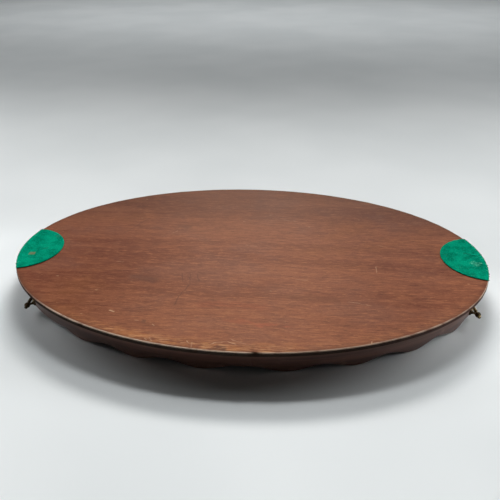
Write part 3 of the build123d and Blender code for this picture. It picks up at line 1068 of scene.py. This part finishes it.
# %% The bead's mahogany
def bead_mahogany():
    """A polish like the gallery's, with the grain wrapped round the oval by its angle."""
    wood = Finish("bead_mahogany")
    angle = (wood.y / half_width).math("ARCTAN2", wood.x / half_length)
    ring = node(wood.tree, "ShaderNodeCombineXYZ", {0: angle * 0.25, 1: wood.z, 2: 0.0})
    wood.place = ring.outputs[0]
    streaks = wood.noise(wood.turned(0, (9, 420, 420)), 1.0, 5, 0.6)
    bands = wood.noise(wood.turned(0, (3, 60, 60)), 1.0, 3, 0.5)
    colour = wood.mix(bands.ramp(0.35, 0.68), (0.055, 0.022, 0.015), (0.110, 0.046, 0.030))
    colour = wood.mix(streaks.ramp(0.5, 0.75, 0.0, 0.5), colour, (0.17, 0.075, 0.045))
    relief = wood.bump(streaks, 0.08 * MM, 0.4)
    wood.set(Base_Color=colour, Roughness=streaks * 0.12 + 0.24, Normal=relief)
    wood.set(Coat_Weight=0.35, Coat_Roughness=0.2)
    return wood.material


bead_finish = bead_mahogany()
print("finish:", bead_finish.name)

# %% Finish the CAD pieces
CAD_FINISHES = {
    "inner_bead": bead_finish,
    "bail_left": shaded_bail_brass,
    "bail_cap_left": shaded_bail_brass,
    "bail": bail_brass,
    "handle_post": post_brass,
    "rosette": post_brass,
    "handle_washers": screw_brass,
    "handle_nuts": screw_brass,
}
finished = 0
for name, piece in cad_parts.items():
    material = next((own for start, own in CAD_FINISHES.items() if name.startswith(start)), None)
    if material:
        piece.data.materials.clear()
        piece.data.materials.append(material)
        finished += 1
print("CAD pieces finished:", finished)

# %% [markdown]
# ## Studio
#
# A pale floor, a pale room and soft light from behind and above. The light from behind
# makes the wax on the board glow and drops the shadow of the board towards us. Two small
# lamps beyond the tips do what pale walls would: they throw light back on the floor there.
#
# The room should look pale without lighting the tray. The Light Path node tells the room
# which ray is asking: the camera and mirror or glass rays see a pale grey, and every other
# ray gets only a faint fill.

# %% Floor
def floor_paper():
    paper = Finish("floor_paper")
    tooth = paper.noise(paper.place, 900, 3, 0.6)
    shade = paper.noise(paper.place, 3, 2, 0.5)
    colour = paper.mix(shade.ramp(0.3, 0.7), (0.775, 0.805, 0.812), (0.835, 0.862, 0.868))
    relief = paper.bump(tooth, 0.05 * MM, 0.2)
    paper.set(Base_Color=colour, Roughness=0.9, Normal=relief, Specular_IOR_Level=0.0)
    return paper.material


FLOOR_REACH = 4.0
paper_mesh = bmesh.new()
signs = ((-1, -1), (1, -1), (1, 1), (-1, 1))
corners = [paper_mesh.verts.new((x * FLOOR_REACH, y * FLOOR_REACH, crest_level)) for x, y in signs]
paper_mesh.faces.new(corners)
floor = piece_from(paper_mesh, "studio_floor", floor_paper(), smooth=False)
print("floor:", 2 * FLOOR_REACH, "metres square")

# %% Lamps
WARM, COOL = (1.0, 0.99, 0.97), (0.97, 0.99, 1.0)
LAMPS = (
    # name, place, point it faces, width, depth, watts, spread in degrees, colour
    ("low_softbox", (0.0, 2.84, 1.50), (0, -0.9, 0), 2.8, 0.30, 10.8, 38, WARM),
    ("high_softbox", (0.0, 2.50, 2.25), (0, -0.9, 0), 3.2, 0.28, 8.6, 42, COOL),
    ("side_softbox_left", (-2.6, 1.3, 1.0), (-0.3, -0.4, 0), 1.6, 0.3, 4.4, 60, COOL),
    ("side_softbox_right", (2.6, 1.3, 1.0), (0.3, -0.4, 0), 1.6, 0.3, 5.4, 60, COOL),
    ("end_lamp_left", (-0.66, 0.02, 0.24), (-0.325, -0.03, 0), 0.2, 0.15, 0.036, 26, COOL),
    ("end_lamp_right", (0.64, -0.12, 0.26), (0.310, -0.085, 0), 0.2, 0.15, 0.034, 26, COOL),
    ("backdrop_lamp", (0.0, 2.30, 2.60), (0, 2.3, 0), 4.0, 1.5, 17, 80, COOL),
)


def soft_lamp(name, place, aim, width, depth, watts, spread, colour):
    lamp = bpy.data.lights.new(name, "AREA")
    lamp.shape, lamp.size, lamp.size_y = "RECTANGLE", width, depth
    lamp.energy, lamp.color, lamp.spread = watts, colour, radians(spread)
    holder = bpy.data.objects.new(name, lamp)
    holder.location = place
    holder.rotation_euler = (Vector(aim) - Vector(place)).to_track_quat("-Z", "Y").to_euler()
    holder.visible_camera = not name.startswith("end_lamp")
    scene.collection.objects.link(holder)


for settings in LAMPS:
    soft_lamp(*settings)
print("studio lit by", len(LAMPS), "lamps")

# %% Room
room = bpy.data.worlds.new("pale_room")
room.use_nodes = True
scene.world = room
room_tree = room.node_tree
fill = room_tree.nodes["Background"]
fill.inputs["Color"].default_value = (1.0, 0.98, 0.93, 1.0)
fill.inputs["Strength"].default_value = 0.020
seen = node(room_tree, "ShaderNodeBackground", {"Color": (0.40, 0.42, 0.43, 1.0)})
ray = node(room_tree, "ShaderNodeLightPath")
camera_ray, glossy_ray, clear_ray = (
    Sum(room_tree, ray.outputs[f"Is {kind} Ray"]) for kind in ("Camera", "Glossy", "Transmission")
)
shows = camera_ray.math("MAXIMUM", glossy_ray).math("MAXIMUM", clear_ray)
choose = node(room_tree, "ShaderNodeMixShader", {0: shows, 1: fill.outputs[0], 2: seen.outputs[0]})
room_tree.links.new(choose.outputs[0], room_tree.nodes["World Output"].inputs["Surface"])
print("room:", room.name, len(room_tree.nodes), "nodes")

# %% Camera and colour
VIEW_PLACE = (0.0461, -0.6355, 0.4101)
VIEW_HEADING = (-0.0706, 0.9975)
VIEW_DOWN = radians(30.5)
lens = bpy.data.cameras.new("view")
lens.lens, lens.sensor_width = 40.32, 36.0
camera = bpy.data.objects.new("view", lens)
camera.location = VIEW_PLACE
aim = Vector((*(part * cos(VIEW_DOWN) for part in VIEW_HEADING), -sin(VIEW_DOWN)))
camera.rotation_euler = aim.to_track_quat("-Z", "Y").to_euler()
scene.collection.objects.link(camera)
scene.camera = camera
scene.view_settings.view_transform = "Standard"
print("camera", [round(value, 3) for value in camera.location])
